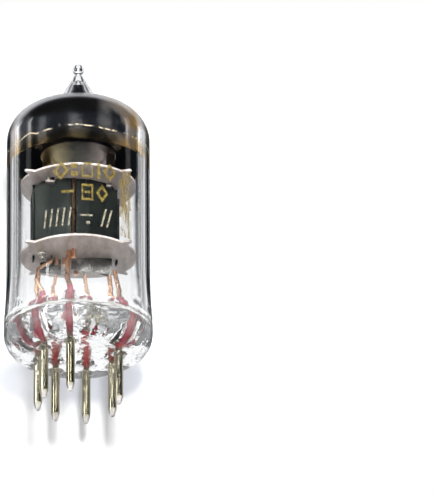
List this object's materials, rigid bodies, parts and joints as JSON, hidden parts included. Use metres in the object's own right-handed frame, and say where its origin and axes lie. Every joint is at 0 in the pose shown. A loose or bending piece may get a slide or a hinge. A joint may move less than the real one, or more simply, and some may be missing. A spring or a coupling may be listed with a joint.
{
  "type": "miniature vacuum tube",
  "caption": "Small all-glass amplifier valve: cylindrical bulb with a sealed tip, dark folded plates between mica discs, a mirrored dome, and stiff wire pins in a pressed glass base.",
  "frame": {"origin": "centre of the pin circle on the flat underside of the glass base", "axes": "+Z along the tube from the pins to the sealed tip; -Y faces the viewer; the empty step of the pin circle is 34 degrees from -Y towards +X"},
  "size_m": [0.0173, 0.0172, 0.0441],
  "materials": {
    "glass": "clear, fire-polished",
    "pin_metal": "nickel, tarnished olive, drawn",
    "seal_metal": "borated sealing wire, glossy cherry red",
    "copper": "copper-clad wire, dull",
    "nickel": "bright nickel wire and strip",
    "dark_nickel": "carbonised nickel sheet, matt grey",
    "mica": "punched mica, translucent pinkish grey",
    "oxide": "sintered white coating",
    "getter_metal": "pressed nickel sheet",
    "getter_mirror": "flashed barium mirror with a brown edge"
  },
  "bodies": {
    "root": {"anode_left": "dark_nickel", "anode_right": "dark_nickel", "anode_rod_back": "copper", "anode_rod_front": "copper", "base_button": "glass", "bulb": "glass", "cathode_coating": "oxide", "cathode_sleeve": "nickel", "cathode_strap": "dark_nickel", "control_grid_strap": "dark_nickel", "getter_film": "getter_mirror", "getter_leg_left": "getter_metal", "getter_leg_right": "getter_metal", "getter_pan": "getter_metal", "getter_ring": "getter_metal", "grid_1_rods": "copper", "grid_1_winding": "nickel", "grid_2_rods": "copper", "grid_2_winding": "nickel", "grid_3_rods": "nickel", "grid_3_winding": "nickel", "heater": "oxide", "heater_tab_1": "nickel", "heater_tab_2": "nickel", "inner_lead_1": "copper", "inner_lead_2": "copper", "inner_lead_3": "copper", "inner_lead_4": "copper", "inner_lead_5": "copper", "inner_lead_6": "copper", "inner_lead_7": "copper", "lower_mica": "mica", "mica_eyelets": "nickel", "pin_1": "pin_metal", "pin_2": "pin_metal", "pin_3": "pin_metal", "pin_4": "pin_metal", "pin_5": "pin_metal", "pin_6": "pin_metal", "pin_7": "pin_metal", "screen_strap": "dark_nickel", "seal_wire_1": "seal_metal", "seal_wire_2": "seal_metal", "seal_wire_3": "seal_metal", "seal_wire_4": "seal_metal", "seal_wire_5": "seal_metal", "seal_wire_6": "seal_metal", "seal_wire_7": "seal_metal", "suppressor_bridge": "nickel", "suppressor_strap": "dark_nickel", "upper_mica": "mica"}
  },
  "joints": []
}
